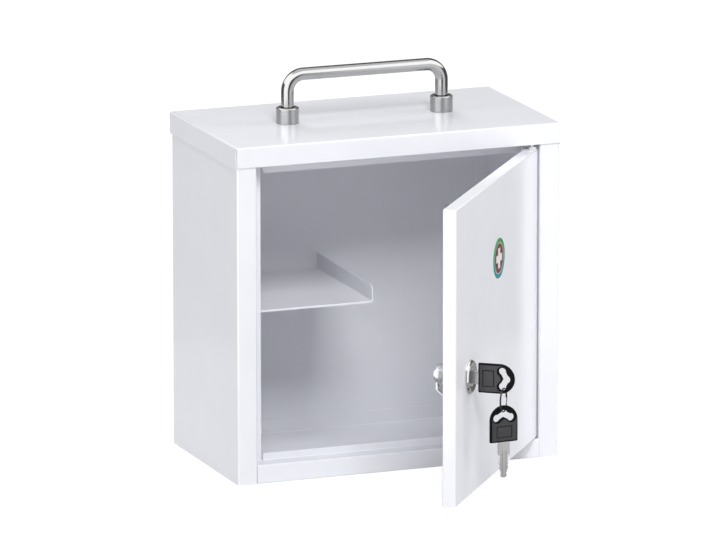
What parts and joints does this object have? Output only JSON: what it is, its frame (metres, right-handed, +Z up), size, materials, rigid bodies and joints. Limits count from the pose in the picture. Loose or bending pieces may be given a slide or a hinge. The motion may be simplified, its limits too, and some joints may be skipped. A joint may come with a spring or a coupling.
{
  "type": "lockable medicine cabinet",
  "caption": "Small portable sheet-steel medicine cabinet with a hinged lockable door, a part-width shelf, a top carrying handle, and keys on a ring.",
  "frame": {"origin": "centre of the underside, on the surface that the cabinet stands on, under the middle of the body", "axes": "+X right and +Y to the back, seen from the front; +Z up. The door is on the -Y side, hinged on the right, and stands ajar at rest."},
  "size_m": [0.272, 0.3327, 0.3135],
  "materials": {
    "white_powder_coat": "gloss white powder coat on folded sheet steel",
    "brushed_handle_steel": "satin stainless steel, fine lengthwise brushing",
    "zinc_plate": "bright zinc plate",
    "white_nylon": "natural nylon, satin",
    "grey_rubber": "matt grey rubber",
    "badge_enamel": "gloss printed badge, green with a white cross in a pale ring",
    "lock_chrome": "polished chrome plate",
    "key_nickel": "nickel-plated, fine-brushed",
    "black_plastic": "moulded black plastic, semi-gloss",
    "ring_wire": "polished steel wire"
  },
  "bodies": {
    "cabinet": {"left_side": "white_powder_coat", "right_side": "white_powder_coat", "back_panel": "white_powder_coat", "base_tray": "white_powder_coat", "top_rail": "white_powder_coat", "top_cover": "white_powder_coat", "shelf": "white_powder_coat", "handle": "brushed_handle_steel", "handle_ferrules": "brushed_handle_steel", "handle_washers": "zinc_plate", "handle_screws": "zinc_plate", "pivot_washers": "white_nylon"},
    "door": {"door_panel": "white_powder_coat", "pivot_pins": "zinc_plate", "door_bumpers": "grey_rubber", "badge": "badge_enamel", "lock_housing": "lock_chrome", "lock_nut": "zinc_plate"},
    "lock_core": {"lock_plug": "lock_chrome", "lock_cam": "zinc_plate", "cam_screw": "zinc_plate"},
    "key": {"key_blade": "key_nickel", "key_bow": "black_plastic"},
    "key_ring": {"key_ring": "ring_wire"},
    "spare_key": {"spare_key_blade": "key_nickel", "spare_key_bow": "black_plastic"}
  },
  "joints": [
    {"name": "door_hinge", "type": "hinge", "parent": "cabinet", "child": "door", "pos_m": [0.1132, -0.07215, 0.1335], "axis": [0, 0, 1], "range_deg": [-52.4, 57.6]},
    {"name": "lock_turn", "type": "hinge", "parent": "door", "child": "lock_core", "pos_m": [-0.00043, -0.22584, 0.1101], "axis": [-0.7923, 0.6101, 0], "range_deg": [0, 90]},
    {"name": "key_withdraw", "type": "slide", "parent": "lock_core", "child": "key", "axis": [0.7923, -0.6101, 0], "range_m": [0, 0.024]},
    {"name": "key_ring_swing", "type": "hinge", "parent": "key", "child": "key_ring", "pos_m": [0.02081, -0.2422, 0.10005], "axis": [-0.7923, 0.6101, 0], "range_deg": [-90, 0]},
    {"name": "spare_key_swing", "type": "hinge", "parent": "key_ring", "child": "spare_key", "pos_m": [0.02081, -0.2422, 0.08434], "axis": [0.6101, 0.7923, 0], "range_deg": [-60, 25]}
  ],
  "couplings": [
    {"joint": "key_ring_swing", "follows": "lock_turn", "ratio": -1}
  ]
}
